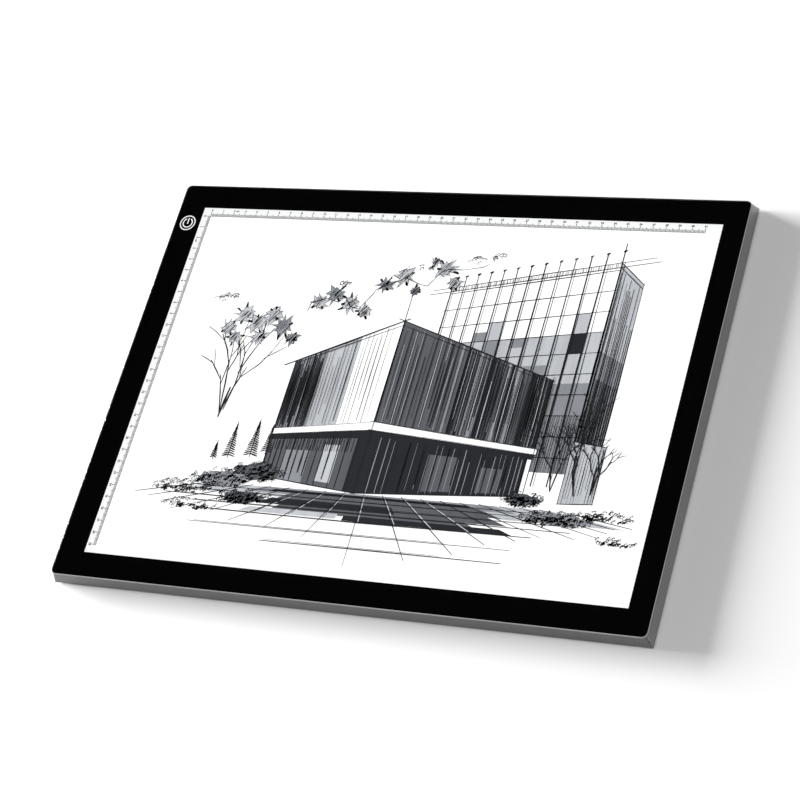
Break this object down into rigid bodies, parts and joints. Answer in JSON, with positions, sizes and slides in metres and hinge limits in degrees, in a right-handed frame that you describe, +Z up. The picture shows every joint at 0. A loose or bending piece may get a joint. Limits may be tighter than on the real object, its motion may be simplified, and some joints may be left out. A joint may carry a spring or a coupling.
{
  "type": "light box",
  "caption": "Flat LED light box for tracing: a clear front with a black printed border, a lit white window with ruler scales, a touch power mark and a grey mitred metal frame.",
  "frame": {"origin": "centre of the underside, in the plane of the feet that the box rests on", "axes": "+X to the right along the long side, +Y away from the user towards the long ruler scale, +Z up out of the lit face"},
  "size_m": [0.473, 0.348, 0.014],
  "materials": {
    "acrylic_clear": "clear polished acrylic",
    "ink_black": "black screen-printed ink",
    "ink_white": "white screen-printed ink",
    "ink_grey": "dark grey screen-printed ink",
    "film_white": "matt white, lit from behind",
    "diffuser_white": "opal, satin",
    "guide_clear": "clear polished acrylic",
    "sheet_white": "white reflective film",
    "foam_grey": "soft closed-cell foam",
    "foam_black": "soft closed-cell foam",
    "rail_grey": "satin grey anodised",
    "plate_grey": "fine-textured grey sheet",
    "steel_zinc": "zinc plated",
    "screw_black": "black oxide",
    "rubber_black": "matt rubber",
    "strip_white": "white solder mask",
    "led_yellow": "phosphor gel",
    "board_green": "green solder mask",
    "chip_black": "moulded epoxy",
    "capacitor_tan": "satin",
    "connector_white": "satin nylon",
    "socket_black": "satin",
    "pin_plated": "nickel plated",
    "spring_steel": "bright wire",
    "wire_red": "satin insulation",
    "wire_black": "satin insulation"
  },
  "bodies": {
    "root": {"backing_foam": "foam_grey", "board_pad": "foam_black", "board_screws": "steel_zinc", "bonding_tape": "foam_black", "border_mask": "ink_black", "bracket_screws": "steel_zinc", "chip_capacitors": "capacitor_tan", "chip_resistors": "chip_black", "control_board": "board_green", "corner_bracket_front_left": "steel_zinc", "corner_bracket_front_right": "steel_zinc", "corner_bracket_rear_left": "steel_zinc", "corner_bracket_rear_right": "steel_zinc", "dc_socket_body": "socket_black", "dc_socket_pin": "pin_plated", "diffuser_film": "film_white", "diffuser_plate": "diffuser_white", "driver_chip": "chip_black", "edge_reflector_left": "sheet_white", "edge_reflector_right": "sheet_white", "foot_1": "rubber_black", "foot_2": "rubber_black", "foot_3": "rubber_black", "foot_4": "rubber_black", "foot_5": "rubber_black", "foot_6": "rubber_black", "front_panel": "acrylic_clear", "inductor": "chip_black", "lead_connectors": "connector_white", "lead_front_black": "wire_black", "lead_front_red": "wire_red", "lead_rear_black": "wire_black", "lead_rear_red": "wire_red", "led_board_front": "strip_white", "led_board_rear": "strip_white", "led_chips_front": "led_yellow", "led_chips_rear": "led_yellow", "light_guide": "guide_clear", "power_icon": "ink_white", "rail_front": "rail_grey", "rail_left": "rail_grey", "rail_rear": "rail_grey", "rail_right": "rail_grey", "rear_plate": "plate_grey", "rear_plate_screws": "screw_black", "reflector_sheet": "sheet_white", "ruler_scale_left": "ink_grey", "ruler_scale_top": "ink_grey", "spacer_gasket": "foam_black", "touch_spring": "spring_steel"}
  },
  "joints": []
}
